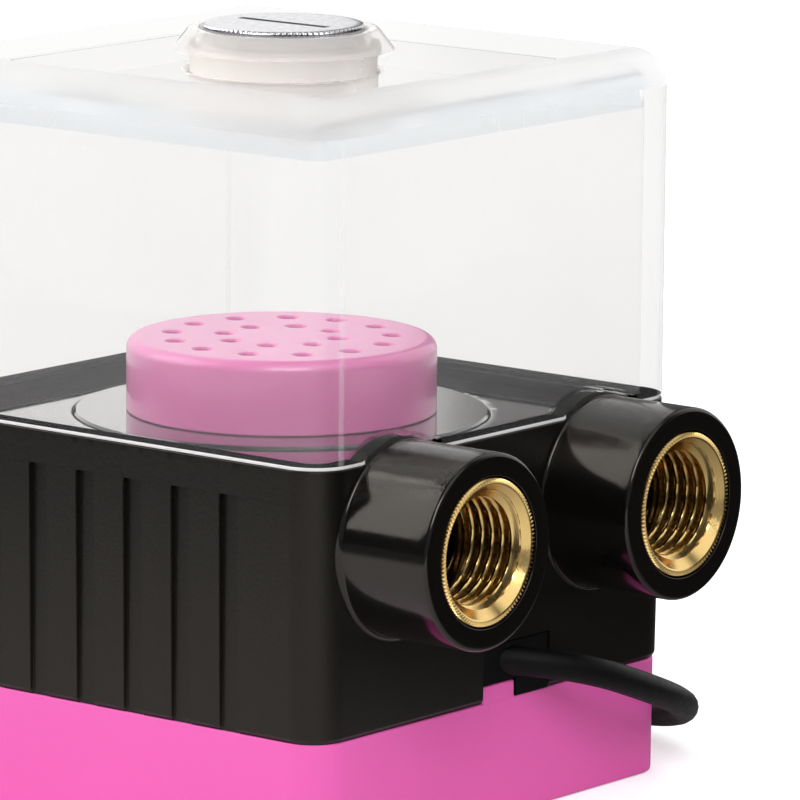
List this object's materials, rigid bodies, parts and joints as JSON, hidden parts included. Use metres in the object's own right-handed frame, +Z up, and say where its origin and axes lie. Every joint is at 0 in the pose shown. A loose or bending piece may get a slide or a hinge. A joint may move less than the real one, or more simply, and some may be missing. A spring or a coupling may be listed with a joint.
{
  "type": "liquid cooling pump",
  "caption": "Square pump and clear reservoir unit for a liquid cooling loop: ribbed black housing with brass threaded ports, inlet filter, screw fill plug and canned rotor pump.",
  "frame": {"origin": "on the pump axis, at the underside of the base", "axes": "+Z up along the pump axis, +X the way the ports point, +Y towards the inlet port's side"},
  "size_m": [0.1039, 0.1081, 0.0835],
  "materials": {
    "clear_tank": "polished clear moulding",
    "clear_seal": "clear soft silicone",
    "plated_plug": "bright nickel plating, knurled edge",
    "seal_rubber": "matte black rubber",
    "pink_filter": "satin pink moulding",
    "pink_base": "satin pink moulding",
    "black_housing": "satin to glossy black moulding",
    "black_inner": "glossy black moulding",
    "brass": "machined brass",
    "impeller_plastic": "filled plastic",
    "magnet": "ground ferrite",
    "bearing": "polished ceramic",
    "lamination": "punched steel sheet",
    "bobbin": "moulded nylon",
    "copper": "enamelled copper wire",
    "board": "solder mask",
    "chip": "moulded package",
    "screw_steel": "zinc plated steel",
    "cable_jacket": "black jacket",
    "core_jacket": "coloured insulation",
    "connector": "black nylon",
    "contact": "tinned contact"
  },
  "bodies": {
    "housing": {"reservoir_tank": "clear_tank", "tank_gasket": "clear_seal", "filter_cap": "pink_filter", "volute_cover": "black_inner", "pump_housing": "black_housing", "outlet_insert": "brass", "inlet_insert": "brass", "rotor_can": "black_inner", "can_gasket": "seal_rubber", "can_screws": "screw_steel", "rotor_shaft": "bearing", "thrust_washers": "bearing", "stator_core": "lamination", "stator_bobbins": "bobbin", "stator_windings": "copper", "circuit_board": "board", "board_components": "chip", "base_cover": "pink_base", "case_screws": "screw_steel", "cable_grommet": "seal_rubber", "lead_wires": "core_jacket", "power_cable": "cable_jacket", "cable_coil": "cable_jacket", "cable_tail": "cable_jacket", "cable_tie": "seal_rubber", "connector_housing": "connector", "connector_contacts": "contact"},
    "rotor": {"impeller": "impeller_plastic", "rotor_magnet": "magnet", "rotor_bushes": "bearing"},
    "plug_seal": {"fill_plug_seal": "clear_seal"},
    "plug": {"fill_plug": "plated_plug"}
  },
  "joints": [
    {"name": "rotor_spin", "type": "hinge", "parent": "housing", "child": "rotor", "pos_m": [0, 0, 0.02], "axis": [0, 0, 1], "continuous": true},
    {"name": "plug_lift", "type": "slide", "parent": "housing", "child": "plug_seal", "axis": [0, 0, 1], "range_m": [0, 0.00668]},
    {"name": "plug_turn", "type": "hinge", "parent": "plug_seal", "child": "plug", "pos_m": [0, 0, 0.08], "axis": [0, 0, 1], "range_deg": [0, 1801]}
  ],
  "couplings": [
    {"joint": "plug_turn", "follows": "plug_lift", "rad_per_m": 4699.5}
  ]
}
